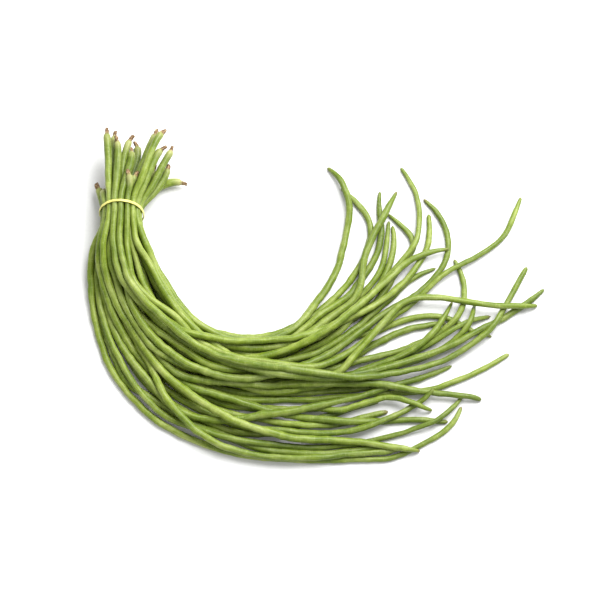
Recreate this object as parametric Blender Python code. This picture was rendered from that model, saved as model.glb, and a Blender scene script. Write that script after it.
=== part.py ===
"""A bunch of yardlong beans: 37 pods held near their stem ends by one rubber band.

Millimetres in the tables, metres in the scene, +Z up. The pods run through the band along
Y, bend round to +X and fan out over the floor. The tables measure from the middle of the
band; in the scene the origin is on the floor, under the middle of the bunch. Each pod
follows a hand-chosen way, at first at heights that say which pod crosses over which, and is
then let down until it rests on the floor or on the pods below it.
"""

import math
from collections import namedtuple

import bpy
import numpy as np
from mathutils import Matrix, Vector
from mathutils.geometry import convex_hull_2d

MM = 0.001

# A pod's thickness: its radius at these distances past the band.
PAST_BAND = (0.0, 80.0, 280.0, 370.0, 470.0)
BODY_RADIUS = (2.9, 3.35, 3.3, 3.0, 2.6)
THICKNESS_SPREAD = 0.07  # how much thicker or thinner a pod is than the next
THICKNESS_TURN = 2.4  # radians from one pod to the next, of the wave that varies them
TOP_ROW_THICKNESS = 1.07  # the pods that lie on top of the bunch are the stoutest
TIE_RADIUS = BODY_RADIUS[0]
STEM_RADIUS = 3.45  # between the band and the shoulder
STEM_SWELL = 14.0  # a pod widens to it over this distance from the band
SHOULDER_LENGTH = 6.0  # where the pod narrows to its dried stalk
STUB_RADIUS = 1.9
STUB_END_RADIUS = 1.1
STUB_LENGTH = 6.5
TIP_RADIUS = 1.5
TIP_LENGTH = 20.0
BLUNT_TIP_LENGTH = 8.0  # some pods end bluntly
TIP_BLUNTNESS = 0.35  # 1 is a cone, 0 is a flat end
TIP_SPLIT = 1 / 3  # of the tip's length, where it has one more centre line point
GAP = 0.3  # clearance between pods that rest on each other
BAND_GAP = 0.4  # and between pods in the band

# The rubber band, and the straight stretch that it holds.
BAND_WIDTH = 3.0
BAND_THICKNESS = 1.0
BAND_LEAN = math.radians(19)  # the band leans, its top towards the stem ends
BAND_TURN = math.radians(3)  # and its left side lies further towards them than its right
BAND_SHIFT = 1.3  # towards the stem ends, from the middle of the straight stretch
# What the width of the leaning band needs, sideways and upwards.
BAND_SLACK = BAND_WIDTH / 2 * np.array((math.tan(BAND_TURN), math.tan(BAND_LEAN)))
SECTION_SIDES = 12  # of the outline that the band takes round each pod
TIE_HALF_LENGTH = 10.0  # the pods are parallel this far to each side of the band
STEM_SHARES = (2 / 3, 1 / 3)  # of the way from the band out to the stem's own way
STEM_BOW = 1.5  # a stem leaves the band straight and bends away

# Centre lines.
SAMPLE = 20.0  # distance between a pod's centre line points
SPLINE_STEPS = 12  # samples from one hand-chosen point to the next
LAYER_RISE = 12.0  # from one layer to the next, before the pods are let down

# The ways are as seen from in front and from this far above the floor's plane, so a point
# that lies higher than SEEN_HEIGHT is nearer to the front than it looks.
SEEN_FROM = math.radians(75)
SEEN_HEIGHT = 5.0
HEAP_HEIGHT = 36.0  # no pod past the band comes to rest above this

# Letting down: rounds, fall in each round, and the share of its way a pod is pulled back.
STAGES = ((130, 1.0, 0.2), (130, 0.5, 0.2), (90, 0.15, 0.25))
STIFF_IN_PLAN = 0.4
STIFF_IN_HEIGHT = 0.3
PUSHES = 3  # in each round, pods that are too close are pushed apart so often
PUSH_SHARE = 0.9
CLEARING_ROUNDS = 300
CLEARING_GAP = 1.1 * GAP
LEAST_GAP = 0.8 * GAP
NEIGHBOUR_ROUNDS = 8  # the pods near each other are looked for anew after this many rounds
NEIGHBOUR_MARGIN = 20.0

# Looks.
POD_BEVEL = 1  # a pod is six-sided
DARK_GREEN = np.array((0.27, 0.43, 0.08))
LIGHT_GREEN = np.array((0.35, 0.49, 0.10))
GREEN_TURN = 1.7  # radians from one pod to the next, of the wave that varies the green
POD_ROUGHNESS = 0.45
BAND_YELLOW = (0.93, 0.82, 0.16)
BAND_ROUGHNESS = 0.5

# row: the pod's row in the band, 0 lowest of seven.
# stem: from the band to its stem end (x, y, height).
# way: from the band to its tip (x, y, layer); a higher layer crosses over a lower one.
# blunt: whether its tip is blunt.
Pod = namedtuple("Pod", "row stem way blunt", defaults=(False,))

PODS = [
    Pod(5, [(22, 26, 35), (28, 44, 35), (36, 62, 34), (44, 70, 33)], [
        (24, -22, 6), (34, -49, 6), (48, -76, 6), (68, -102, 5), (90, -118, 5), (116, -126, 5),
        (141, -126, 5), (161, -121, 5), (180, -107, 5), (194, -86, 5), (211, -62, 5),
        (221, -31, 5), (227, 2, 5), (226, 29, 5), (218, 45, 5), (206, 55, 5)]),
    Pod(2, [(31, 22, 18), (42, 38, 18), (47, 54, 20)], [
        (26, -28, 3), (39, -58, 3), (60, -96, 3), (86, -119, 3), (117, -125, 3), (144, -123, 3),
        (166, -118, 3), (182, -109, 2), (199, -93, 2), (224, -70, 2), (242, -40, 2),
        (250, -11, 2), (243, 11, 2), (230, 23, 2), (220, 34, 2)]),
    Pod(4, [(28, 24, 27), (35, 39, 27), (44, 57, 27), (52, 70, 28)], [
        (23, -25, 4), (36, -52, 4), (56, -87, 4), (84, -118, 4), (114, -129, 4), (144, -129, 3),
        (169, -124, 2), (204, -95, 1), (229, -79, 1), (244, -55, 1), (259, -35, 1),
        (262, -12, 1), (258, 13, 1), (259, 30, 1)]),
    Pod(4, [(23, 55, 31), (30, 74, 31), (36, 87, 33)], [
        (18, -27, 3), (28, -52, 3), (47, -83, 3), (77, -115, 3), (107, -130, 3), (137, -131, 3),
        (169, -126, 4), (191, -114, 6), (209, -100, 6), (231, -86, 6), (240, -65, 6),
        (242, -41, 6), (252, -17, 6), (264, 8, 6), (276, 30, 6)]),
    Pod(1, [(28, 41, 14)], [
        (20, -31, 0), (37, -70, 0), (59, -101, 0), (90, -122, 0), (122, -129, 0), (154, -127, 0),
        (183, -113, 0), (209, -104, 4), (233, -89, 4), (252, -68, 4), (261, -47, 4),
        (265, -24, 4), (268, -1, 4)]),
    Pod(0, [(32, 29, 9), (41, 38, 9), (52, 40, 9), (65, 37, 8)], [
        (24, -31, 1), (40, -70, 1), (59, -101, 1), (88, -123, 1), (120, -134, 1), (153, -135, 1),
        (184, -122, 1), (212, -106, 3), (241, -86, 3), (261, -63, 3), (269, -43, 3),
        (272, -23, 3), (271, -6, 3)]),
    Pod(2, [(28, 39, 20), (33, 54, 20)], [
        (17, -31, 2), (32, -70, 2), (53, -103, 2), (83, -128, 2), (117, -139, 2), (153, -141, 2),
        (184, -128, 2), (209, -115, 2), (229, -98, 2), (246, -82, 2), (263, -62, 2),
        (282, -42, 2), (293, -29, 2), (290, -17, 2), (279, -4, 2), (267, 6, 2)]),
    Pod(3, [(22, 44, 17)], [
        (10, -32, 1), (26, -71, 1), (48, -105, 1), (80, -131, 1), (115, -144, 1), (152, -145, 1),
        (185, -132, 1), (203, -122, 2), (221, -108, 2), (239, -91, 4), (263, -62, 6),
        (288, -33, 6), (298, -10, 6), (298, 18, 6), (291, 38, 6), (280, 55, 6)]),
    Pod(3, [(25, 47, 27), (30, 63, 27)], [
        (13, -32, 4), (26, -71, 4), (47, -105, 4), (78, -133, 4), (116, -143, 4), (153, -138, 4),
        (184, -124, 4), (211, -110, 7), (237, -89, 7), (259, -68, 7), (282, -48, 7),
        (303, -35, 7), (328, -30, 7)]),
    Pod(5, [(12, 32, 36), (17, 42, 36)], [
        (12, -23, 7), (17, -48, 7), (25, -70, 7), (38, -89, 7), (55, -105, 8),
        (76, -116, 8), (104, -123, 8), (134, -125, 8), (164, -123, 8),
        (189, -118, 8), (214, -108, 6), (231, -99, 4), (253, -88, 3),
        (277, -70, 3), (298, -47, 3), (308, -20, 3), (308, 6, 3)], blunt=True),
    Pod(5, [(-9, 56, 27), (-8, 87, 26)], [
        (-13, -31, 6), (-6, -57, 6), (1, -80, 6), (11, -101, 6), (25, -124, 6), (45, -142, 5),
        (69, -153, 4), (97, -156, 3), (129, -150, 3), (159, -146, 4), (182, -143, 4),
        (199, -135, 3), (214, -126, 3), (237, -109, 3), (264, -86, 3), (287, -64, 3),
        (304, -54, 3), (317, -52, 3)]),
    Pod(5, [(0, 38, 34), (4, 61, 35), (10, 81, 33)], [
        (1, -27, 5), (5, -54, 5), (11, -83, 5), (23, -109, 5), (41, -131, 5), (63, -147, 6),
        (87, -156, 6), (117, -163, 6), (141, -161, 5), (164, -156, 4), (189, -148, 5),
        (214, -135, 5), (241, -114, 5), (267, -94, 5), (297, -76, 5), (316, -55, 5),
        (327, -28, 5), (320, 3, 5), (303, 22, 5)]),
    Pod(6, [(8, 25, 43), (6, 42, 44)], [
        (6, -21, 8), (7, -43, 8), (12, -63, 8), (28, -82, 8), (51, -101, 8), (77, -123, 7),
        (107, -139, 7), (141, -146, 6), (174, -152, 5), (197, -151, 5), (214, -144, 6),
        (244, -125, 6), (269, -102, 6), (297, -81, 6), (319, -58, 6), (349, -42, 6),
        (379, -22, 6), (393, 3, 6), (401, 24, 6)]),
    Pod(4, [(14, 45, 21), (16, 65, 20), (13, 78, 21)], [
        (1, -37, 3), (1, -62, 3), (10, -86, 4), (29, -108, 4), (53, -126, 4), (79, -142, 4),
        (109, -154, 4), (141, -157, 3), (179, -156, 3), (214, -152, 4), (241, -143, 4),
        (279, -135, 4), (315, -121, 4), (336, -102, 4), (344, -80, 4), (341, -57, 4),
        (333, -41, 4)]),
    Pod(6, [(19, 29, 42), (26, 52, 42), (35, 75, 39), (44, 86, 36)], [
        (15, -17, 8), (25, -39, 8), (38, -65, 8), (55, -91, 8), (71, -110, 6), (91, -128, 5),
        (117, -146, 5), (151, -157, 4), (187, -163, 4), (209, -162, 5), (222, -152, 8),
        (243, -128, 9), (263, -105, 9), (282, -84, 9), (304, -79, 9), (337, -84, 9),
        (376, -89, 9), (416, -89, 9)]),
    Pod(0, [(7, 37, 7)], [
        (9, -32, 0), (24, -71, 0), (45, -106, 0), (78, -132, 0), (116, -142, 0), (153, -138, 0),
        (184, -122, 0), (213, -122, 0), (247, -117, 0), (277, -106, 0), (304, -100, 0),
        (334, -105, 0), (354, -115, 0), (370, -121, 0)]),
    Pod(0, [(0, 37, 7)], [
        (2, -32, 0), (14, -71, 0), (35, -110, 0), (70, -141, 0), (110, -154, 0), (152, -157, 0),
        (186, -144, 0), (219, -151, 1), (251, -130, 1), (279, -115, 1), (304, -109, 1),
        (325, -104, 1)]),
    Pod(0, [(-7, 38, 7)], [
        (-6, -32, 0), (4, -72, 0), (27, -113, 0), (63, -147, 0), (107, -162, 0), (151, -166, 0),
        (187, -156, 0), (209, -146, 2), (229, -136, 2), (250, -126, 2)]),
    Pod(2, [(6, 38, 16)], [
        (3, -32, 2), (14, -71, 2), (35, -110, 2), (67, -143, 2), (107, -161, 2), (151, -170, 2),
        (188, -161, 2), (224, -162, 6), (257, -150, 6), (289, -136, 6), (313, -116, 6),
        (331, -85, 6)]),
    Pod(1, [(8, 40, 9)], [
        (4, -32, 1), (17, -71, 1), (36, -110, 1), (66, -144, 1), (106, -165, 1), (150, -177, 1),
        (189, -172, 1), (224, -166, 4), (259, -156, 4), (294, -144, 4), (328, -130, 4),
        (345, -112, 4), (353, -89, 4)]),
    Pod(1, [(0, 40, 9)], [
        (-4, -32, 1), (7, -72, 1), (28, -113, 1), (61, -148, 1), (105, -167, 1), (150, -173, 1),
        (188, -165, 1), (224, -168, 3), (264, -152, 3), (299, -132, 3), (329, -113, 3),
        (349, -105, 3), (369, -100, 3)]),
    Pod(6, [(-4, 35, 38), (-3, 64, 37), (-6, 79, 35)], [
        (-9, -21, 7), (-5, -39, 7), (3, -62, 7), (18, -82, 7), (39, -104, 7), (64, -125, 7),
        (93, -143, 7), (126, -152, 6), (164, -158, 5), (197, -162, 5), (229, -162, 5),
        (264, -152, 5), (309, -138, 5), (345, -121, 5), (379, -104, 5), (404, -88, 5),
        (423, -72, 5)]),
    Pod(6, [(6, 46, 34), (9, 69, 30)], [
        (-2, -21, 9), (2, -41, 9), (8, -65, 9), (25, -86, 9), (49, -107, 9),
        (75, -128, 9), (104, -142, 9), (137, -150, 9), (171, -155, 9),
        (204, -158, 9), (234, -162, 8), (264, -159, 8), (297, -153, 8),
        (325, -144, 8), (347, -130, 8), (369, -111, 8), (387, -83, 8),
        (406, -49, 8)], blunt=True),
    Pod(3, [(4, 40, 27)], [
        (-2, -32, 3), (8, -72, 3), (27, -113, 3), (56, -153, 3), (99, -179, 3),
        (150, -186, 3), (191, -185, 3), (224, -179, 3), (264, -176, 3),
        (304, -177, 3), (334, -167, 3), (359, -155, 3), (387, -139, 3)], blunt=True),
    Pod(4, [(-2, 48, 26)], [
        (-7, -27, 4), (-5, -54, 4), (3, -83, 4), (17, -109, 4), (35, -135, 5),
        (53, -156, 6), (79, -165, 6), (109, -168, 6), (144, -171, 6),
        (179, -169, 6), (209, -168, 5), (234, -168, 5), (264, -170, 5),
        (291, -176, 5), (324, -180, 5), (344, -181, 5), (359, -186, 5)], blunt=True),
    Pod(3, [(-13, 43, 17)], [
        (-10, -32, 1), (-2, -73, 1), (20, -116, 1), (56, -154, 1), (102, -172, 1),
        (150, -179, 1), (190, -178, 1), (224, -179, 1), (249, -177, 1), (269, -178, 1)]),
    Pod(4, [(-14, 28, 18)], [
        (-18, -27, 3), (-20, -52, 3), (-16, -81, 3), (-9, -106, 3), (4, -134, 3), (21, -158, 3),
        (42, -182, 3), (63, -199, 4), (87, -206, 4), (115, -207, 5), (147, -200, 6),
        (179, -196, 6), (205, -190, 5), (229, -184, 4), (264, -175, 4), (289, -167, 4),
        (311, -159, 4), (330, -151, 4)]),
    Pod(0, [(-10, 32, 6)], [
        (-17, -33, 0), (-15, -74, 0), (-1, -124, 0), (32, -175, 0), (86, -209, 0),
        (147, -220, 0), (193, -205, 0), (224, -196, 2), (241, -192, 2), (257, -188, 2)]),
    Pod(2, [(-4, 43, 15)], [
        (-6, -32, 2), (4, -72, 2), (24, -114, 2), (53, -156, 2), (96, -186, 2), (149, -196, 2),
        (192, -194, 2), (219, -197, 8), (247, -188, 8), (269, -183, 8), (289, -187, 8),
        (310, -197, 8)]),
    Pod(3, [(-7, 45, 22)], [
        (-11, -28, 2), (-8, -57, 2), (3, -88, 2), (19, -116, 2), (39, -142, 3),
        (64, -166, 4), (93, -177, 5), (121, -187, 5), (147, -196, 4),
        (174, -203, 3), (201, -206, 3), (229, -207, 3), (264, -207, 3),
        (299, -207, 3), (326, -209, 3)], blunt=True),
    Pod(1, [(-7, 40, 10)], [
        (-13, -33, 1), (-9, -73, 1), (11, -119, 1), (44, -164, 1), (93, -194, 1),
        (148, -207, 1), (194, -212, 1), (224, -211, 2), (247, -203, 2),
        (266, -198, 2)], blunt=True),
    Pod(5, [(-11, 27, 22)], [
        (-22, -25, 6), (-22, -46, 6), (-16, -71, 6), (-7, -102, 6), (7, -126, 6), (24, -149, 6),
        (42, -170, 4), (65, -188, 4), (91, -202, 3), (119, -214, 2), (154, -217, 3),
        (189, -220, 4), (224, -218, 7), (257, -207, 7), (284, -197, 7), (300, -186, 7),
        (311, -174, 7)]),
    Pod(6, [(-13, 54, 35), (-16, 88, 34)], [
        (-16, -23, 8), (-16, -46, 8), (-9, -71, 8), (1, -94, 8), (16, -119, 8), (36, -146, 8),
        (59, -170, 8), (84, -189, 8), (114, -207, 8), (146, -218, 7), (184, -225, 7),
        (224, -228, 7), (264, -232, 7), (297, -237, 7)]),
    Pod(2, [(-14, 33, 12)], [
        (-22, -27, 3), (-24, -54, 4), (-21, -86, 4), (-13, -118, 4), (2, -151, 4), (21, -179, 4),
        (46, -202, 4), (75, -215, 3), (108, -224, 3), (141, -230, 3), (179, -234, 4),
        (224, -234, 6), (254, -228, 6), (289, -217, 6), (316, -206, 6), (331, -193, 6),
        (342, -180, 6)]),
    Pod(1, [(-14, 30, 9)], [
        (-23, -33, 1), (-26, -60, 1), (-21, -93, 1), (-12, -128, 1), (3, -163, 1), (27, -182, 1),
        (49, -196, 1), (70, -206, 1), (92, -216, 1), (124, -231, 2), (159, -239, 2),
        (197, -241, 1), (231, -237, 1), (274, -235, 1)]),
    Pod(4, [(-12, 38, 26)], [
        (-14, -31, 5), (-12, -60, 5), (0, -93, 5), (15, -121, 6), (29, -149, 9), (44, -180, 9),
        (68, -209, 9), (99, -231, 9), (134, -242, 9), (169, -245, 8), (204, -244, 5),
        (239, -240, 3), (284, -238, 3)]),
    Pod(2, [(-19, 24, 16), (-23, 31, 15), (-27, 35, 15)], [
        (-26, -21, 4), (-30, -50, 4), (-28, -93, 3), (-18, -130, 2), (2, -172, 2), (32, -204, 2),
        (74, -228, 2), (119, -241, 2), (164, -245, 1), (199, -247, 1), (229, -247, 4),
        (263, -244, 4), (298, -231, 4), (320, -218, 4), (334, -204, 4), (339, -193, 4)]),
]
ROWS = max(pod.row for pod in PODS) + 1
PITCH = 2 * TIE_RADIUS + BAND_GAP  # from pod to pod in the band
RINGS = 3  # of pods round the middle one, with 6, 12 and 18 places
RING_TURNS = (0, 0, 0.5)  # how far each ring is turned, in places
LOWEST_PLACE = (
    TIE_RADIUS
    + GAP + BAND_SLACK[1] + BAND_THICKNESS
    + BAND_WIDTH / 2 * math.sin(BAND_LEAN)
)
TIE_MIDDLE = LOWEST_PLACE + RINGS * PITCH


def clear_scene():
    for obj in list(bpy.data.objects):
        bpy.data.objects.remove(obj, do_unlink=True)


def tie_places():
    """Where each pod passes the band: (x, height), in rings round the middle one."""
    free = [(0.0, TIE_MIDDLE)]
    for ring in range(1, RINGS + 1):
        for place in range(6 * ring):
            angle = math.tau * (place + RING_TURNS[ring - 1]) / (6 * ring)
            free.append((
                ring * PITCH * math.cos(angle),
                TIE_MIDDLE + ring * PITCH * math.sin(angle),
            ))
    free.sort(key=lambda place: (round(place[1], 3), place[0]))
    places = {}
    for row in range(ROWS):
        members = [n for n, pod in enumerate(PODS) if pod.row == row]
        members.sort(key=lambda n: PODS[n].way[0][0])
        taken, free = sorted(free[: len(members)]), free[len(members) :]
        places.update(zip(members, taken))
    return places


def rough_route(pod, x, height):
    """The points of a pod from stem end to tip, and the number of the one at the band."""
    entry_y = TIE_HALF_LENGTH + (height - TIE_MIDDLE) * math.tan(BAND_LEAN)
    first_x, first_y, first_z = pod.stem[0]
    route = list(reversed(pod.stem))
    for share in STEM_SHARES:
        bow = share**STEM_BOW
        route.append((
            x + (first_x - x) * bow,
            entry_y + (first_y - entry_y) * share,
            height + (first_z - height) * bow,
        ))
    entry = len(route)
    route.append((x, entry_y, height))
    route.append((x, entry_y - 2 * TIE_HALF_LENGTH, height))
    for way_x, way_y, layer in pod.way:
        route.append((way_x, way_y, SEEN_HEIGHT + layer * LAYER_RISE))
    return np.array(route), entry


def spline_through(points):
    """A Catmull-Rom curve through the points, as closely spaced samples."""
    before = 2 * points[0] - points[1]
    after = 2 * points[-1] - points[-2]
    knots = np.vstack([before, points, after])
    samples = []
    for n in range(1, len(knots) - 2):
        a, b, c, d = knots[n - 1 : n + 3]
        for step in range(SPLINE_STEPS):
            t = step / SPLINE_STEPS
            samples.append(
                0.5 * (2 * b + (c - a) * t + (2 * a - 5 * b + 4 * c - d) * t * t
                       + (3 * b - a - 3 * c + d) * t**3)
            )
    samples.append(points[-1])
    return np.array(samples)


def plan_travel(line):
    """How far along the line each of its points lies, measured in plan."""
    steps = np.hypot(np.diff(line[:, 0]), np.diff(line[:, 1]))
    return np.concatenate([[0.0], np.cumsum(steps)])


def at_distances(curve, distances):
    """Points of the curve at these distances from its start, measured in plan."""
    travel = plan_travel(curve)
    return np.stack([np.interp(distances, travel, curve[:, axis]) for axis in range(3)], axis=1)


def sample_stem(curve):
    """From the stem end to the band: the stub, the shoulder, then evenly spaced."""
    length = plan_travel(curve)[-1]
    shoulder = STUB_LENGTH + SHOULDER_LENGTH
    count = max(1, round((length - shoulder) / SAMPLE))
    places = [0.0, STUB_LENGTH]
    places += [shoulder + (length - shoulder) * n / count for n in range(count + 1)]
    return at_distances(curve, places)


def sample_body(curve, tip_length):
    """From the band to the tip: evenly spaced, and close together at the tip."""
    length = plan_travel(curve)[-1]
    count = round((length - tip_length) / SAMPLE)
    places = [(length - tip_length) * n / count for n in range(count + 1)]
    places += [length - tip_length * TIP_SPLIT, length]
    return at_distances(curve, places)


def radii(line, exit_index, thickness, tip_length):
    """A pod's radius at each of its points."""
    travel = plan_travel(line)
    to_band = travel[exit_index - 1] - travel
    past_band = travel - travel[exit_index]
    to_tip = travel[-1] - travel
    stem = TIE_RADIUS + (STEM_RADIUS - TIE_RADIUS) * np.clip(to_band / STEM_SWELL, 0, 1)
    shoulder = np.clip((travel - STUB_LENGTH) / SHOULDER_LENGTH, 0, 1)
    stub = np.interp(travel, [0, STUB_LENGTH], [STUB_END_RADIUS, STUB_RADIUS])
    body = np.interp(past_band, PAST_BAND, BODY_RADIUS)
    body *= 1 + (thickness - 1) * np.clip(past_band / PAST_BAND[1], 0, 1)
    tip = np.clip(to_tip / tip_length, 0, 1) ** TIP_BLUNTNESS
    return np.where(past_band < 0, stub + (stem - stub) * shoulder,
                    TIP_RADIUS + (body - TIP_RADIUS) * tip)


def closest_on_segments(p, q, r, s):
    """How far along p-q and r-s their closest points lie, for arrays of segments."""
    u, v, w = q - p, s - r, p - r
    uu, vv, uv = (u * u).sum(1), (v * v).sum(1), (u * v).sum(1)
    uw, vw = (u * w).sum(1), (v * w).sum(1)
    spread = np.maximum(uu * vv - uv * uv, 1e-9)
    a = np.clip((uv * vw - vv * uw) / spread, 0, 1)
    b = np.clip((uv * a + vw) / vv, 0, 1)
    a = np.clip((uv * b - uw) / uu, 0, 1)
    return a, b


class Laying:
    """All the pods' centre lines together, while they are let down."""

    def __init__(self, lines, line_radii, stem_counts):
        self.points = np.vstack(lines)
        self.goal = self.points.copy()
        self.radius = np.concatenate(line_radii)
        numbers = [np.arange(len(line)) for line in lines]
        self.stem = np.concatenate([n < count for n, count in zip(numbers, stem_counts)])
        self.held = np.concatenate([
            (n == count - 1) | (n == count) for n, count in zip(numbers, stem_counts)
        ])
        self.owner = np.concatenate([np.full(len(line), n) for n, line in enumerate(lines)])
        self.first = np.nonzero(self.owner[1:] == self.owner[:-1])[0]
        inner = np.nonzero(self.owner[2:] == self.owner[:-2])[0] + 1
        self.inner = inner[~self.held[inner]]
        self.near = None

    def find_neighbours(self):
        start, end = self.points[self.first], self.points[self.first + 1]
        middle = (start + end) / 2
        half = np.sqrt(((end - start) ** 2).sum(1)) / 2
        apart = np.sqrt(((middle[:, None] - middle[None]) ** 2).sum(2))
        reach = half[:, None] + half[None] + NEIGHBOUR_MARGIN
        pod = self.owner[self.first]
        self.near = np.nonzero((apart < reach) & (pod[:, None] < pod[None]))

    def contacts(self):
        one, two = self.first[self.near[0]], self.first[self.near[1]]
        p, q = self.points[one], self.points[one + 1]
        r, s = self.points[two], self.points[two + 1]
        a, b = closest_on_segments(p, q, r, s)
        between = (p + (q - p) * a[:, None]) - (r + (s - r) * b[:, None])
        distance = np.maximum(np.sqrt((between**2).sum(1)), 1e-6)
        thick = self.radius[one] * (1 - a) + self.radius[one + 1] * a
        thick = thick + self.radius[two] * (1 - b) + self.radius[two + 1] * b
        return one, two, a, b, between / distance[:, None], distance - thick

    def push_apart(self, gap, share):
        one, two, a, b, direction, clearance = self.contacts()
        hit = clearance < gap
        one, two, a, b = one[hit], two[hit], a[hit], b[hit]
        push = direction[hit] * ((gap - clearance[hit]) * share)[:, None]
        total = np.zeros_like(self.points)
        weight = np.zeros(len(self.points))
        for index, amount in ((one, 1 - a), (one + 1, a), (two, -(1 - b)), (two + 1, -b)):
            for axis in range(3):
                total[:, axis] += np.bincount(
                    index, amount * push[:, axis], minlength=len(total)
                )
            weight += np.bincount(index, amount * amount, minlength=len(total))
        free = ~self.held
        self.points[free] += total[free] / np.maximum(weight[free], 1)[:, None]
        self.points[:, 2] = np.maximum(self.points[:, 2], self.radius)

    def aims(self):
        """Where each point belongs, given how high it lies now."""
        aims = self.goal.copy()
        past_band = ~self.stem & ~self.held
        height = np.minimum(self.points[past_band, 2], HEAP_HEIGHT)
        aims[past_band, 1] -= (height - SEEN_HEIGHT) / math.tan(SEEN_FROM)
        aims[past_band, 2] = self.points[past_band, 2]
        return aims

    def smooth(self, aims):
        """Pods resist bending: sideways away from their route, and up and down."""
        shift = self.points - aims
        i = self.inner
        middle = (shift[i - 1] + shift[i + 1]) / 2 - shift[i]
        self.points[i, :2] += STIFF_IN_PLAN * middle[:, :2]
        z = self.points[:, 2]
        self.points[i, 2] += STIFF_IN_HEIGHT * ((z[i - 1] + z[i + 1]) / 2 - z[i])

    def settle(self, rounds, fall, hold):
        free = ~self.held
        for step in range(rounds):
            if step % NEIGHBOUR_ROUNDS == 0:
                self.find_neighbours()
            self.points[free & ~self.stem, 2] -= fall
            aims = self.aims()
            self.points[free] += hold * (aims[free] - self.points[free])
            self.smooth(aims)
            for _ in range(PUSHES):
                self.push_apart(GAP, PUSH_SHARE)

    def clear(self):
        for step in range(CLEARING_ROUNDS):
            if step % NEIGHBOUR_ROUNDS == 0:
                self.find_neighbours()
            self.push_apart(CLEARING_GAP, 1.0)
            if self.contacts()[-1].min() > LEAST_GAP:
                break


def thickness(n, pod):
    """How stout a pod is beside the ordinary one."""
    stout = TOP_ROW_THICKNESS if pod.row == ROWS - 1 else 1
    return stout * (1 + THICKNESS_SPREAD * math.sin(THICKNESS_TURN * n + 1))


def lay_pods():
    """Every pod's centre line and radii, at rest."""
    places = tie_places()
    lines, line_radii, stem_counts = [], [], []
    for n, pod in enumerate(PODS):
        route, entry = rough_route(pod, *places[n])
        curve = spline_through(route)
        stem = sample_stem(curve[: entry * SPLINE_STEPS + 1])
        tip_length = BLUNT_TIP_LENGTH if pod.blunt else TIP_LENGTH
        body = sample_body(curve[(entry + 1) * SPLINE_STEPS :], tip_length)
        line = np.vstack([stem, body])
        lines.append(line)
        stem_counts.append(len(stem))
        line_radii.append(radii(line, len(stem), thickness(n, pod), tip_length))
    laying = Laying(lines, line_radii, stem_counts)
    for rounds, fall, hold in STAGES:
        laying.settle(rounds, fall, hold)
    laying.clear()
    ends = np.cumsum([len(line) for line in lines])[:-1]
    return np.split(laying.points, ends), line_radii


def material(name, colour, roughness):
    made = bpy.data.materials.new(name)
    made.use_nodes = True
    shader = made.node_tree.nodes["Principled BSDF"]
    shader.inputs["Base Color"].default_value = (*colour, 1)
    shader.inputs["Roughness"].default_value = roughness
    return made


def bean_pod(number, line, radius, collection):
    """One pod, from its stalk stub to its tip: a thin tube along its centre line."""
    name = f"bean_pod_{number:02d}"
    data = bpy.data.curves.new(name, "CURVE")
    data.dimensions = "3D"
    data.twist_mode = "MINIMUM"
    data.bevel_depth = MM
    data.bevel_resolution = POD_BEVEL
    data.use_fill_caps = True
    start = line[0] * MM
    spline = data.splines.new("POLY")
    spline.points.add(len(line) - 1)
    for point, place, thick in zip(spline.points, line, radius):
        point.co = (*(place * MM - start), 1)
        point.radius = thick
    spline.use_smooth = True
    light = 0.5 + 0.5 * math.sin(GREEN_TURN * number)
    green = DARK_GREEN + (LIGHT_GREEN - DARK_GREEN) * light
    data.materials.append(material(name, green, POD_ROUGHNESS))
    pod = bpy.data.objects.new(name, data)
    pod.location = start
    collection.objects.link(pod)


def band_frame():
    """The band's middle, and its directions: across, up and square to its plane."""
    turned = Matrix.Rotation(-BAND_TURN, 3, "Z") @ Matrix.Rotation(math.pi / 2 - BAND_LEAN, 3, "X")
    return np.array((0.0, BAND_SHIFT, TIE_MIDDLE)), np.array(turned).T


def section_outline(lines, line_radii, away):
    """The taut outline round the pods' sections in the band's plane, as (across, up)."""
    points = []
    middle, (across, up, square) = band_frame()
    for line, radius in zip(lines, line_radii):
        ahead = (line - middle) @ square
        n = int(np.nonzero((ahead[:-1] < 0) & (ahead[1:] >= 0))[0][0])
        share = ahead[n] / (ahead[n] - ahead[n + 1])
        crossing = line[n] + (line[n + 1] - line[n]) * share
        reach = max(radius[n], radius[n + 1]) + away + BAND_SLACK
        for side in range(SECTION_SIDES):
            angle = math.tau * side / SECTION_SIDES
            rim = crossing - middle
            rim += (reach[0] * math.cos(angle), 0, reach[1] * math.sin(angle))
            rim[1] -= (rim @ square) / square[1]
            points.append((rim @ across, rim @ up))
    return [points[n] for n in convex_hull_2d(points)]


def rubber_band(lines, line_radii, collection):
    """A flat ring, stretched round the bunch in a leaning plane."""
    data = bpy.data.curves.new("rubber_band", "CURVE")
    data.dimensions = "2D"
    data.fill_mode = "BOTH"
    data.extrude = BAND_WIDTH / 2 * MM
    for away in (GAP, GAP + BAND_THICKNESS):
        outline = section_outline(lines, line_radii, away)
        spline = data.splines.new("POLY")
        spline.points.add(len(outline) - 1)
        for point, (across, up) in zip(spline.points, outline):
            point.co = (across * MM, up * MM, 0, 1)
        spline.use_cyclic_u = True
    data.materials.append(material("rubber_band", BAND_YELLOW, BAND_ROUGHNESS))
    band = bpy.data.objects.new("rubber_band", data)
    band.location = Vector(band_frame()[0]) * MM
    band.rotation_euler = (math.pi / 2 - BAND_LEAN, 0, -BAND_TURN)
    collection.objects.link(band)


def move_origin_under_middle(collection):
    """Shifts the bunch so that the origin is on the floor, under its middle."""
    bpy.context.view_layer.update()
    corners = np.array([
        obj.matrix_world @ Vector(corner)
        for obj in collection.objects
        for corner in obj.bound_box
    ])
    low, high = corners.min(axis=0), corners.max(axis=0)
    middle = (low + high) / 2
    for obj in collection.objects:
        obj.location -= Vector((middle[0], middle[1], low[2]))


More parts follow.
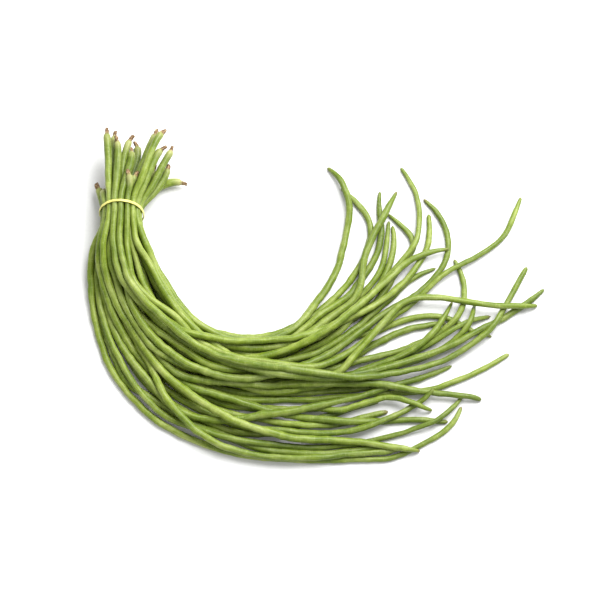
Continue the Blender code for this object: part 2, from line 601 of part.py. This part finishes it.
def main():
    clear_scene()
    bunch = bpy.data.collections.new("yardlong_bean_bunch")
    bpy.context.scene.collection.children.link(bunch)
    lines, line_radii = lay_pods()
    for number, (line, radius) in enumerate(zip(lines, line_radii), 1):
        bean_pod(number, line, radius, bunch)
    rubber_band(lines, line_radii, bunch)
    move_origin_under_middle(bunch)


main()
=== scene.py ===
"""The looks of the yardlong bean bunch: lumpy green pods, their dried stalks, and the band.

Every pod follows the centre line and thickness of its CAD node, and is laid out again as a
fine surface with seeds, seams, a pale neck, a torn stalk stub and a blossom tip.

Lengths are in millimetres unless a comment says otherwise. A named pair of numbers is a range
to draw from.
"""

import math

import bpy
import numpy as np
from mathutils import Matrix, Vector
from mathutils.geometry import convex_hull_2d


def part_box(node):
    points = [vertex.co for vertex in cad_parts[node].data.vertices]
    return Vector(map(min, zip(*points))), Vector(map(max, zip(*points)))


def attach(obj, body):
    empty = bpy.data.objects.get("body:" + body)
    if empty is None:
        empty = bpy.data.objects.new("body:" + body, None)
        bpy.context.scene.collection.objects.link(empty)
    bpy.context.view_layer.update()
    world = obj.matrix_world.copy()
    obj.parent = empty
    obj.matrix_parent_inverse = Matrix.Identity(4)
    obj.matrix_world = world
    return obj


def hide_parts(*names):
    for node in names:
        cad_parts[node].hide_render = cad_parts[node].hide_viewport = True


MM = 0.001
LOWEST = 0.02  # how far every fine surface stays above the floor

# The fine surface of a pod.
STEP = 2.0  # from one ring to the next
SIDES = 20
SWELL = 0.15  # how far it stands out from the CAD, so that pods touch
END_SIDE = 1.3  # the sides of a stalk stub's end are shorter than this
CURVE_SAMPLES = 10  # between two of the CAD's rings
LINE_REACH = 3.0  # in rings, how far the centre line is smoothed
POD_SEED = 4100

# Stalk stub and neck.
STUB_LENGTH = (5.3, 7.7)
STUB_END_RADIUS = (0.8, 1.6)
STUB_FOOT_RADIUS = (1.7, 2.3)
STUB_FLARE = 0.7  # below 1, it widens more at its end than at its foot
STUB_EDGE = 0.6  # how far the dry bark reaches on to the pod
STUB_EDGE_BLEND = 1.6
STUB_BEND_SIDE = 1.6
STUB_BEND_UP = 1.0
STUB_BEND_POWER = 1.5
TORN_LOBES = 3
TORN_LOBE_SHARE = 0.3
TORN_PHASE = 5.0
TORN_ROUGHNESS = 0.38
SHOULDER_LENGTH = (2.2, 4.0)
SHOULDER_END = 18.0
STEM_RADIUS = 3.7
STEM_SHARE = (0.96, 1.06)
STEM_REACH = 4.0  # in rings
NECK_LENGTH = (8.0, 14.0)
NECK_FADE = 9.0
NECK_PALENESS = (0.25, 0.75)

# Body.
BODY_LEAST = 2.4  # a pod's radius before its tip narrows
BODY_REACH = 5.0  # in rings
UNEVENNESS = ((42.0, 0.05), (13.0, 0.045))  # wavelength, and share of the radius
DRIFT = ((30.0, 0.75), (11.0, 0.45))  # wavelength, and how far sideways
DRIFT_FROM = 60.0  # held straight by the band up to here
DRIFT_RISE = 60.0
DRIFT_TIP = 30.0
LUMP_FIRST = (0.0, 8.0)
LUMP_SHARE = (0.03, 0.17)
LUMP_REACH = (2.6, 4.4)
LUMP_SPACING = (8.0, 15.0)
LUMP_FREE_END = 12.0
LUMP_ROUND = 0.6  # share of a lump that is the same all round the pod
SEAM_TURN = 0.9
SEAM_WAVELENGTH = 150.0
GROOVE_DEPTH = 0.03
GROOVE_WIDTH = 0.2

# Blossom tip.
BLUNT_BELOW = 14.0  # CAD tips shorter than this are blunt
TIP_REACH = (0.8, 1.3)
TIP_POWER = (0.3, 0.5)
BLUNT_END_RADIUS = (1.5, 2.0)
POINTED_END_RADIUS = (0.8, 1.4)
NOSE_LENGTH = 2.0
NOSE_LEAST = 0.35
DARK_END_LENGTH = (2.0, 8.0)
DARK_END_SHARES = (0.2, 0.5, 1.0)

# Light and dark along a pod, its own tone with painted shade and highlight added: 1 is its
# lightest tone, 0 a dull one, and -1 its darkest.
TONE = (0.25, 0.75)
TONE_WAVE = 0.25
TONE_WAVELENGTH = 60.0
# Painted shade: the far, fanned-out part of every pod is darkened.
FAN_PAINTED_SHADE = 0.5
FAN_PAINTED_SHADE_FROM = 250.0
FAN_PAINTED_SHADE_RISE = 180.0
# Painted shade: each stem is darkened by a random amount towards its stalk end, where the
# stems shade one another; the listed stems get much more.
STEM_PAINTED_SHADE = (0.2, 0.8)
STEM_PAINTED_SHADE_END = 91.0
STEM_PAINTED_SHADE_RISE = 70.0
SHADED_STEMS = (14,)  # pods whose stem lies low in deep shade and gets much more painted shade than the others
SHADED_STEM_EXTRA_PAINTED_SHADE = 0.8
SEED_PAINTED_LIGHT_AND_SHADE = 2.0  # swellings are painted lighter as highlight and the necks between them darker as shade

# Where the skin's pattern is read from: round a cylinder, and onwards from pod to pod.
SKIN_RADIUS = 3.3
SKIN_OFFSET = 700.0

# Rubber band. Waves are given as how many there are round the band, their phase and height.
BAND_THICKNESS = 1.0
BAND_WIDTH = 3.0
BAND_STEPS = 220
BAND_SIDES = 14
BAND_SQUARENESS = 4.0
BAND_BREADTH = 0.92
BAND_BREADTH_WAVES = ((3, 1.0, 0.07), (7, 0.0, 0.04))
BAND_DRIFT_WAVES = ((2, 0.6, 0.25), (5, 0.0, 0.12))

# Studio, in metres, degrees and watts.
FLOOR_SIZE = 12.0
SKY_STRENGTH = 0.8
KEY_PLACE = (0.55, 0.75, 1.35)
KEY_SIZE = 1.4
KEY_POWER = 63.0
CAMERA_ELEVATION = 75.0
CAMERA_DISTANCE = 4.5
CAMERA_LENS = 270.0
AIM_FROM_BAND = Vector((0.1785, -0.0843, 0.0))
AIM_HEIGHT = 0.005


# Lines and numbers along them.


def length(vectors):
    return np.sqrt((vectors**2).sum(-1))


def rising(values):
    """Values held between 0 and 1."""
    return np.clip(values, 0, 1)


def travelled(points):
    steps = length(np.diff(points, axis=0))
    return np.concatenate([[0.0], np.cumsum(steps)])


def along_line(at, distances, points):
    """The points of a line at the given distances along it."""
    return np.stack([np.interp(at, distances, part) for part in points.T], axis=1)


def smooth_curve(points):
    """A Catmull-Rom curve through the points."""
    knots = np.vstack([2 * points[0] - points[1], points, 2 * points[-1] - points[-2]])
    curve = []
    for n in range(1, len(knots) - 2):
        a, b, c, d = knots[n - 1 : n + 3]
        for t in np.arange(CURVE_SAMPLES) / CURVE_SAMPLES:
            curve.append(0.5 * (2 * b + (c - a) * t + (2 * a - 5 * b + 4 * c - d) * t**2
                                + (3 * b - a - 3 * c + d) * t**3))
    return np.vstack([curve, points[-1:]])


def softened(values, reach):
    """Values smoothed along the line over a reach given in rings; the ends stay."""
    half = int(3 * reach)
    weights = np.exp(-0.5 * (np.arange(-half, half + 1) / reach) ** 2)
    weights /= weights.sum()
    before = 2 * values[0] - values[half:0:-1]
    after = 2 * values[-1] - values[-2 : -half - 2 : -1]
    padded = np.concatenate([before, values, after])
    if values.ndim == 1:
        return np.convolve(padded, weights, "valid")
    return np.stack([np.convolve(part, weights, "valid") for part in padded.T], axis=1)


def wander(draw, at, wavelength):
    """A smooth random wave of about unit height along the distances."""
    knots = np.arange(at[0] - wavelength, at[-1] + 2 * wavelength, wavelength)
    heights = draw.uniform(-1, 1, len(knots))
    place = (at - knots[0]) / wavelength
    n = place.astype(int)
    t = place - n
    t = t * t * (3 - 2 * t)
    return heights[n] * (1 - t) + heights[n + 1] * t


def wanders(draw, at, waves):
    """Random waves of several lengths and heights, added up."""
    return sum(height * wander(draw, at, wavelength) for wavelength, height in waves)


def frames_along(line):
    """At each point of the line, two directions square to it that don't twist."""
    tangent = np.gradient(line, axis=0)
    tangent /= length(tangent)[:, None]
    side = np.zeros_like(line)
    current = np.cross(tangent[0], (0.0, 0.0, 1.0))
    for n, ahead in enumerate(tangent):
        current = current - ahead * (current * ahead).sum()
        current = current / length(current)
        side[n] = current
    return side, np.cross(tangent, side)


# Reading a pod's centre line back from its CAD node.


def welded(node):
    """The node's corners with doubles joined, and each corner's neighbours."""
    places = np.array([vertex.co for vertex in node.data.vertices])
    corners, index = np.unique(np.round(places, 6), axis=0, return_inverse=True)
    index = index.reshape(-1)
    neighbours = [set() for _ in corners]
    for edge in node.data.edges:
        a, b = index[edge.vertices[0]], index[edge.vertices[1]]
        neighbours[a].add(b)
        neighbours[b].add(a)
    return corners / MM, neighbours


def layers_from(start, neighbours):
    """Corners in layers: the start, then all that are one edge away, and so on."""
    seen = set(start)
    layers = [sorted(start)]
    while layers[-1]:
        reached = set().union(*(neighbours[n] for n in layers[-1])) - seen
        seen |= reached
        layers.append(sorted(reached))
    return layers[:-1]


def centre_line(node):
    """Ring centres and radii, from the stem end to the tip."""
    corners, neighbours = welded(node)
    end = [
        n for n, around in enumerate(neighbours)
        if min(length(corners[n] - corners[m]) for m in around) < END_SIDE
    ]
    rings = layers_from(end, neighbours)
    centres = np.array([corners[ring].mean(0) for ring in rings])
    radii = np.array([
        length(corners[ring] - centre).mean() for ring, centre in zip(rings, centres)
    ])
    return centres, radii


# Meshes.


def ring_faces(rings, sides, closed):
    """Four-sided faces between each ring of corners and the next."""
    faces = []
    for n in range(rings if closed else rings - 1):
        here, there = n * sides, (n + 1) % rings * sides
        for k in range(sides):
            beside = (k + 1) % sides
            faces.append((here + k, here + beside, there + beside, there + k))
    return faces


def smooth_piece(name, places, faces, material):
    mesh = bpy.data.meshes.new(name)
    mesh.from_pydata(places * MM, [], faces)
    mesh.polygons.foreach_set("use_smooth", [True] * len(mesh.polygons))
    mesh.materials.append(material)
    piece = bpy.data.objects.new(name, mesh)
    bpy.context.scene.collection.objects.link(piece)
    return piece


def capped_tube(name, rings, fields, material):
    """A closed tube through rings of points, with a point at the middle of each end.

    The fields are numbers or vectors at every point; the middle points get their end's mean.
    """
    count, sides = rings.shape[:2]
    places = np.vstack([rings.reshape(-1, 3), rings[0].mean(0), rings[-1].mean(0)])
    first, last = count * sides, count * sides + 1
    faces = ring_faces(count, sides, closed=False)
    for k in range(sides):
        beside = (k + 1) % sides
        faces.append((first, beside, k))
        faces.append((last, first - sides + k, first - sides + beside))
    tube = smooth_piece(name, places, faces, material)
    for field, values in fields.items():
        kind, key = ("FLOAT_VECTOR", "vector") if values.ndim == 2 else ("FLOAT", "value")
        ends = [values[:sides].mean(0), values[-sides:].mean(0)]
        full = np.concatenate([values, np.array(ends)])
        layer = tube.data.attributes.new(field, kind, "POINT")
        layer.data.foreach_set(key, full.ravel())
    tube.data.update()
    return tube


# The pods.


def stem_profile(at, cad, draw):
    """A pod's radius near its stem end: ragged stub, rounded shoulder, then as in the CAD."""
    stub_length = draw.uniform(*STUB_LENGTH)
    shoulder_length = draw.uniform(*SHOULDER_LENGTH)
    end, foot = draw.uniform(*STUB_END_RADIUS), draw.uniform(*STUB_FOOT_RADIUS)
    stub = end + (foot - end) * rising(at / stub_length) ** STUB_FLARE
    rise = rising((at - stub_length) / shoulder_length)
    rise = np.sqrt(1 - (1 - rise) ** 2)
    stem = np.where(at < SHOULDER_END, STEM_RADIUS * draw.uniform(*STEM_SHARE), cad)
    stem = softened(stem, STEM_REACH)
    return stub + (stem - stub) * rise, stub_length


def tip_profile(to_tip, body, tip_length, draw):
    """A pod's radius near its tip: it narrows over a stretch and ends more or less bluntly."""
    blunt = tip_length < BLUNT_BELOW
    reach = tip_length * draw.uniform(*TIP_REACH)
    end = draw.uniform(*(BLUNT_END_RADIUS if blunt else POINTED_END_RADIUS))
    narrowing = rising(to_tip / reach) ** draw.uniform(*TIP_POWER)
    nose = np.sqrt(1 - (1 - rising(to_tip / NOSE_LENGTH)) ** 2)
    return (end + (body - end) * narrowing) * (NOSE_LEAST + (1 - NOSE_LEAST) * nose)


def seed_lumps(at, draw):
    """Low swellings where the seeds sit, unevenly spaced and of uneven height."""
    lumps = np.zeros_like(at)
    place = SHOULDER_END + draw.uniform(*LUMP_FIRST)
    while place < at[-1] - LUMP_FREE_END:
        height, reach = draw.uniform(*LUMP_SHARE), draw.uniform(*LUMP_REACH)
        lumps += height * np.exp(-(((at - place) / reach) ** 2))
        place += draw.uniform(*LUMP_SPACING)
    return lumps


def pod_body(at, cad, tip_length, draw):
    """A pod's radius without its seeds and seams, and the length of its stub."""
    body, stub_length = stem_profile(at, cad + SWELL, draw)
    far = at > at[-1] / 2
    middle = softened(np.where(far, np.maximum(cad, BODY_LEAST), cad), BODY_REACH) + SWELL
    body = np.where(far, tip_profile(at[-1] - at, middle, tip_length, draw), body)
    return body * (1 + wanders(draw, at, UNEVENNESS)), stub_length


def pod_tone_and_painted_shade(number, at, seeds, draw):
    """How light the skin is along a pod, its own tone with painted shade and highlight, from 0
    to 1 as the material reads it.
    """
    tone_and_painted_shade = draw.uniform(*TONE) + TONE_WAVE * wander(draw, at, TONE_WAVELENGTH)
    # painted shade over the fan
    tone_and_painted_shade -= FAN_PAINTED_SHADE * rising((at - FAN_PAINTED_SHADE_FROM) / FAN_PAINTED_SHADE_RISE)
    # painted shade on the stem, strongest at the stalk end
    stem_painted_shade = draw.uniform(*STEM_PAINTED_SHADE) + SHADED_STEM_EXTRA_PAINTED_SHADE * (number in SHADED_STEMS)
    tone_and_painted_shade -= stem_painted_shade * rising((STEM_PAINTED_SHADE_END - at) / STEM_PAINTED_SHADE_RISE)
    # painted highlight on the seed swellings and painted shade in the necks between them
    tone_and_painted_shade += SEED_PAINTED_LIGHT_AND_SHADE * (seeds - seeds.mean())
    return 0.5 + 0.5 * tone_and_painted_shade


def pattern_place(number, at, seam):
    """Where each point of a pod's surface reads the pattern of the skin."""
    onwards = np.repeat(at + SKIN_OFFSET * number, SIDES).reshape(seam.shape)
    return np.stack([SKIN_RADIUS * np.cos(seam), SKIN_RADIUS * np.sin(seam), onwards],
                    axis=-1).reshape(-1, 3)


def bean_pod(number, node, skin):
    draw = np.random.default_rng(POD_SEED + number)
    centres, radii = centre_line(node)
    marks = travelled(centres)
    curve = smooth_curve(centres)
    along = travelled(curve)
    at = np.linspace(0.0, along[-1], int(along[-1] / STEP))
    to_tip = at[-1] - at
    line = softened(along_line(at, along, curve), LINE_REACH)
    side, up = frames_along(line)
    loose = rising((at - DRIFT_FROM) / DRIFT_RISE) * rising(to_tip / DRIFT_TIP)
    line = line + side * (wanders(draw, at, DRIFT) * loose)[:, None]
    cad = np.interp(at, marks, radii)
    body, stub_length = pod_body(at, cad, marks[-1] - marks[-3], draw)

    # Round the pod: the ragged stub, the two seams, and seeds that swell most along them.
    theta = math.tau * np.arange(SIDES) / SIDES
    turn = draw.uniform(0, math.tau) + SEAM_TURN * wander(draw, at, SEAM_WAVELENGTH)
    seam = theta - turn[:, None]
    stub = rising((stub_length + STUB_EDGE - at) / STUB_EDGE_BLEND)[:, None]
    torn = stub * (TORN_LOBE_SHARE * np.cos(TORN_LOBES * theta + TORN_PHASE * draw.uniform())
                   + draw.uniform(-TORN_ROUGHNESS, TORN_ROUGHNESS, seam.shape))
    lean = LUMP_ROUND + (1 - LUMP_ROUND) * np.cos(2 * seam)
    groove = GROOVE_DEPTH * np.exp(-((np.sin(seam) / GROOVE_WIDTH) ** 2))
    seeds = seed_lumps(at, draw)
    radius = body[:, None] * (1 + (seeds[:, None] * lean - groove) * (1 - stub) + torn)
    bend = rising(1 - at / stub_length) ** STUB_BEND_POWER
    line = line + np.outer(bend, side[0] * draw.uniform(-STUB_BEND_SIDE, STUB_BEND_SIDE)
                           + up[0] * draw.uniform(-STUB_BEND_UP, STUB_BEND_UP))
    rings = (line[:, None] + side[:, None] * (radius * np.cos(theta))[..., None]
             + up[:, None] * (radius * np.sin(theta))[..., None])
    rings[:, :, 2] = np.maximum(rings[:, :, 2], LOWEST)

    pale = rising((stub_length + draw.uniform(*NECK_LENGTH) - at) / NECK_FADE)
    pale *= draw.uniform(*NECK_PALENESS)
    tone_and_painted_shade = pod_tone_and_painted_shade(number, at, seeds, draw)
    dark_end = rising(1 - to_tip / draw.uniform(*DARK_END_LENGTH))
    dark_end *= draw.choice(DARK_END_SHARES)
    fields = {"skin": pattern_place(number, at, seam)}
    for name, values in (("pale", pale), ("dry", stub[:, 0]), ("end", dark_end),
                         ("tone_and_painted_shade", tone_and_painted_shade)):
        fields[name] = np.repeat(values, SIDES)
    pod = capped_tube(f"pod_{number:02d}", rings, fields, skin)
    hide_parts(node.name)
    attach(pod, "root")


# The rubber band.


def squared(wave):
    """A sine or cosine with flattened tops, which makes a circle nearly square."""
    return np.sign(wave) * np.abs(wave) ** (2 / BAND_SQUARENESS)


def band_waves(phase, waves):
    return sum(height * np.sin(count * phase + start) for count, start, height in waves)


def band_path(flat):
    """The middle of the band's thickness all round the flat points, and the way outward."""
    hull = flat[convex_hull_2d([tuple(place) for place in flat])]
    hull = np.vstack([hull, hull[:1]])
    distance = travelled(hull)
    at = np.linspace(0, distance[-1], BAND_STEPS, endpoint=False)
    path = along_line(at, distance, hull)
    ahead = np.roll(path, -1, axis=0) - np.roll(path, 1, axis=0)
    ahead /= length(ahead)[:, None]
    outward = np.stack([ahead[:, 1], -ahead[:, 0]], axis=1)
    outward *= np.sign((outward * path).sum())
    return path - outward * BAND_THICKNESS / 2, outward


def rubber_band(node, rubber):
    """A stretched flat loop round the pods, in the plane of its CAD node."""
    corners = np.array([vertex.co for vertex in node.data.vertices]) / MM
    middle = (corners.min(0) + corners.max(0)) / 2
    normal = np.linalg.svd(corners - corners.mean(0))[2][2]
    normal *= -np.sign(normal[1])
    up = np.array((0.0, 0.0, 1.0)) - normal[2] * normal
    up /= length(up)
    across = np.cross(up, normal)
    flat = np.stack([(corners - middle) @ across, (corners - middle) @ up], axis=1)
    path, outward = band_path(flat)

    turn = math.tau * np.arange(BAND_SIDES) / BAND_SIDES
    thick = squared(np.cos(turn)) * BAND_THICKNESS / 2
    wide = squared(np.sin(turn)) * BAND_WIDTH / 2
    phase = math.tau * np.arange(BAND_STEPS) / BAND_STEPS
    breadth = BAND_BREADTH + band_waves(phase, BAND_BREADTH_WAVES)
    drift = band_waves(phase, BAND_DRIFT_WAVES)
    out3 = outward[:, :1] * across + outward[:, 1:] * up
    line3 = middle + path[:, :1] * across + path[:, 1:] * up + np.outer(drift, normal)
    rings = (line3[:, None] + out3[:, None] * thick[None, :, None]
             + normal[None, None] * (wide[None] * breadth[:, None])[..., None])
    rings[:, :, 2] = np.maximum(rings[:, :, 2], LOWEST)
    faces = ring_faces(BAND_STEPS, BAND_SIDES, closed=True)
    band = smooth_piece("rubber_band_loop", rings.reshape(-1, 3), faces, rubber)
    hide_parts(node.name)
    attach(band, "root")


# Materials.


class Nodes:
    """Short ways to build a material's node tree."""

    def __init__(self, name):
        self.material = bpy.data.materials.new(name)
        self.material.use_nodes = True
        self.tree = self.material.node_tree
        self.shader = self.tree.nodes["Principled BSDF"]

    def new(self, kind, **settings):
        node = self.tree.nodes.new(kind)
        for key, value in settings.items():
            setattr(node, key, value)
        return node

    def put(self, source, socket):
        """Sets a socket to a number or colour, or links another node's output to it."""
        if isinstance(source, bpy.types.NodeSocket):
            self.tree.links.new(source, socket)
        elif isinstance(source, tuple):
            socket.default_value = (*source, 1)
        else:
            socket.default_value = source

    def field(self, name, output="Fac"):
        return self.new("ShaderNodeAttribute", attribute_name=name).outputs[output]

    def noise(self, vector, scale=1.0, detail=3.0, rough=0.55):
        node = self.new("ShaderNodeTexNoise")
        node.inputs["Scale"].default_value = scale
        node.inputs["Detail"].default_value = detail
        node.inputs["Roughness"].default_value = rough
        self.put(vector, node.inputs["Vector"])
        return node.outputs["Fac"]

    def pattern(self, vector, across, along, **kind):
        """Noise with one scale across a pod and another along it, in spots per millimetre."""
        node = self.new("ShaderNodeMapping")
        node.inputs["Scale"].default_value = (across, across, along)
        self.put(vector, node.inputs["Vector"])
        return self.noise(node.outputs["Vector"], **kind)

    def ramp(self, factor, stops):
        """Numbers turned into colours; a stop with one number is a grey."""
        node = self.new("ShaderNodeValToRGB")
        elements = node.color_ramp.elements
        while len(elements) < len(stops):
            elements.new(0.5)
        for element, (place, colour) in zip(elements, stops):
            element.position = place
            element.color = (*(colour if isinstance(colour, tuple) else grey(colour)), 1)
        self.put(factor, node.inputs["Fac"])
        return node.outputs["Color"]

    def mix(self, factor, first, second, blend="MIX"):
        node = self.new("ShaderNodeMix", data_type="RGBA", blend_type=blend)
        self.put(factor, node.inputs[0])
        self.put(first, node.inputs[6])
        self.put(second, node.inputs[7])
        return node.outputs[2]

    def added(self, first, second):
        node = self.new("ShaderNodeMath", operation="ADD")
        self.put(first, node.inputs[0])
        self.put(second, node.inputs[1])
        return node.outputs[0]

    def bump(self, height, strength, distance):
        node = self.new("ShaderNodeBump")
        node.inputs["Strength"].default_value = strength
        node.inputs["Distance"].default_value = distance
        self.put(height, node.inputs["Height"])
        self.put(node.outputs["Normal"], self.shader.inputs["Normal"])


def grey(value):
    return (value, value, value)


def bean_skin():
    made = Nodes("bean_skin")
    skin = made.field("skin", "Vector")

    # Broad patches of darker and lighter green, the pod's own tone with painted shade and
    # highlight on it, and a fine mottle.
    patches = made.pattern(skin, across=0.14, along=0.035, detail=4.0)
    colour = made.ramp(patches, [
        (0.30, (0.086, 0.140, 0.003)),
        (0.50, (0.156, 0.216, 0.017)),
        (0.70, (0.265, 0.318, 0.075)),
    ])
    tone_and_painted_shade = made.ramp(made.field("tone_and_painted_shade"), [
        (0.0, (0.46, 0.52, 0.36)),
        (0.5, (0.72, 0.76, 0.68)),
        (0.75, grey(1.0)),
        (1.0, (1.12, 1.10, 1.10)),
    ])
    colour = made.mix(1.0, colour, tone_and_painted_shade, "MULTIPLY")
    mottle = made.pattern(skin, across=0.9, along=0.35, detail=5.0, rough=0.65)
    shade = made.ramp(mottle, [(0.35, 0.80), (0.65, 1.15)])
    colour = made.mix(1.0, colour, shade, "MULTIPLY")

    # Lengthwise streaks, small brown marks, and wrinkles across the pod, with painted
    # highlight on their ridges and painted shade in their creases.
    streaks = made.pattern(skin, across=1.6, along=0.05)
    light = made.ramp(streaks, [(0.50, 0.0), (0.8, 0.45)])
    colour = made.mix(light, colour, (0.41, 0.465, 0.215))
    dull = made.ramp(streaks, [(0.22, 0.35), (0.45, 0.0)])
    colour = made.mix(dull, colour, (0.075, 0.115, 0.008))
    specks = made.pattern(skin, across=0.5, along=0.22, scale=1.3, detail=2.0)
    marks = made.ramp(specks, [(0.70, 0.0), (0.78, 0.5)])
    colour = made.mix(marks, colour, (0.13, 0.13, 0.035))
    wrinkles = made.pattern(skin, across=0.22, along=1.2, rough=0.6)
    # painted highlight on the wrinkles' ridges
    painted_ridge_highlight = made.ramp(wrinkles, [(0.56, 0.0), (0.72, 0.32)])
    colour = made.mix(painted_ridge_highlight, colour, (0.40, 0.44, 0.17))
    # painted shade in the wrinkles' creases
    painted_crease_shade = made.ramp(wrinkles, [(0.28, 0.36), (0.44, 0.0)])
    colour = made.mix(painted_crease_shade, colour, (0.085, 0.125, 0.008))

    # The pale neck, the dark blossom end and the dry bark of the stalk stub.
    cream = made.ramp(mottle, [(0.3, (0.30, 0.32, 0.10)), (0.7, (0.50, 0.48, 0.22))])
    colour = made.mix(made.field("pale"), colour, cream)
    withered = made.ramp(mottle, [(0.3, (0.07, 0.06, 0.02)), (0.7, (0.22, 0.17, 0.07))])
    colour = made.mix(made.field("end"), colour, withered)
    bark = made.pattern(skin, across=0.7, along=0.45, detail=4.0, rough=0.7)
    stalk = made.ramp(bark, [
        (0.34, (0.040, 0.022, 0.010)),
        (0.47, (0.130, 0.070, 0.033)),
        (0.57, (0.30, 0.195, 0.100)),
        (0.68, (0.62, 0.54, 0.34)),
    ])
    dry = made.field("dry")
    colour = made.mix(dry, colour, stalk)
    made.put(colour, made.shader.inputs["Base Color"])

    gloss = made.ramp(mottle, [(0.3, 0.32), (0.7, 0.45)])
    made.put(made.mix(dry, gloss, grey(0.85)), made.shader.inputs["Roughness"])
    made.put(0.24, made.shader.inputs["Specular IOR Level"])
    fine = made.pattern(skin, across=1.5, along=0.6, scale=1.6, detail=5.0, rough=0.6)
    made.bump(made.added(fine, wrinkles), strength=0.30, distance=0.0005)
    return made.material


def band_rubber():
    made = Nodes("band_rubber")
    place = made.new("ShaderNodeTexCoord").outputs["Object"]
    cloud = made.noise(place, scale=160.0, detail=4.0)
    colour = made.ramp(cloud, [(0.3, (0.64, 0.58, 0.12)), (0.7, (0.74, 0.70, 0.21))])
    made.put(colour, made.shader.inputs["Base Color"])
    gloss = made.ramp(cloud, [(0.3, 0.50), (0.7, 0.65)])
    made.put(gloss, made.shader.inputs["Roughness"])
    made.bump(made.noise(place, scale=900.0), strength=0.3, distance=0.0002)
    return made.material


def floor_paper():
    made = Nodes("floor_paper")
    place = made.new("ShaderNodeTexCoord").outputs["Object"]
    colour = made.ramp(made.noise(place, scale=400.0), [(0.3, 0.70), (0.7, 0.73)])
    made.put(colour, made.shader.inputs["Base Color"])
    made.put(0.9, made.shader.inputs["Roughness"])
    made.put(0.1, made.shader.inputs["Specular IOR Level"])
    return made.material


# Floor, light and camera.


def studio_floor():
    bpy.ops.mesh.primitive_plane_add(size=FLOOR_SIZE, location=(0, 0, 0))
    plane = bpy.context.object
    plane.name = "studio_floor"
    plane.data.materials.append(floor_paper())


def studio_light(aim):
    world = bpy.data.worlds.new("studio_world")
    world.use_nodes = True
    sky = world.node_tree.nodes["Background"]
    sky.inputs["Color"].default_value = (1, 1, 1, 1)
    sky.inputs["Strength"].default_value = SKY_STRENGTH
    bpy.context.scene.world = world

    data = bpy.data.lights.new("key_light", "AREA")
    data.shape = "DISK"
    data.size = KEY_SIZE
    data.energy = KEY_POWER
    light = bpy.data.objects.new("key_light", data)
    light.location = KEY_PLACE
    light.rotation_euler = (aim - Vector(KEY_PLACE)).to_track_quat("-Z", "Y").to_euler()
    bpy.context.scene.collection.objects.link(light)
    bpy.context.scene.view_settings.view_transform = "Standard"


def studio_camera(aim):
    data = bpy.data.cameras.new("camera")
    data.lens = CAMERA_LENS
    lift = math.radians(CAMERA_ELEVATION)
    viewer = bpy.data.objects.new("camera", data)
    viewer.location = aim + CAMERA_DISTANCE * Vector((0, -math.cos(lift), math.sin(lift)))
    viewer.rotation_euler = (math.pi / 2 - lift, 0, 0)
    bpy.context.scene.collection.objects.link(viewer)
    bpy.context.scene.camera = viewer


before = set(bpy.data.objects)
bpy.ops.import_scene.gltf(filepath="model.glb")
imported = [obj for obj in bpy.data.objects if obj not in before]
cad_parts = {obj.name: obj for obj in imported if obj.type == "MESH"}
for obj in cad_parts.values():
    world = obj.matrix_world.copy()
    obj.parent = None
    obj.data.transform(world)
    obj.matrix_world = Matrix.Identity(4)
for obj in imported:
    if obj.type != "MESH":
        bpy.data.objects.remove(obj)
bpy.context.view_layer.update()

band_low, band_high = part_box("rubber_band")
target = (band_low + band_high) / 2 + AIM_FROM_BAND
target.z = AIM_HEIGHT

skin_material = bean_skin()
pod_nodes = sorted(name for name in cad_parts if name.startswith("bean_pod_"))
for pod_number, pod_name in enumerate(pod_nodes, 1):
    bean_pod(pod_number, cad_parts[pod_name], skin_material)
rubber_band(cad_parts["rubber_band"], band_rubber())

studio_floor()
studio_light(target)
studio_camera(target)
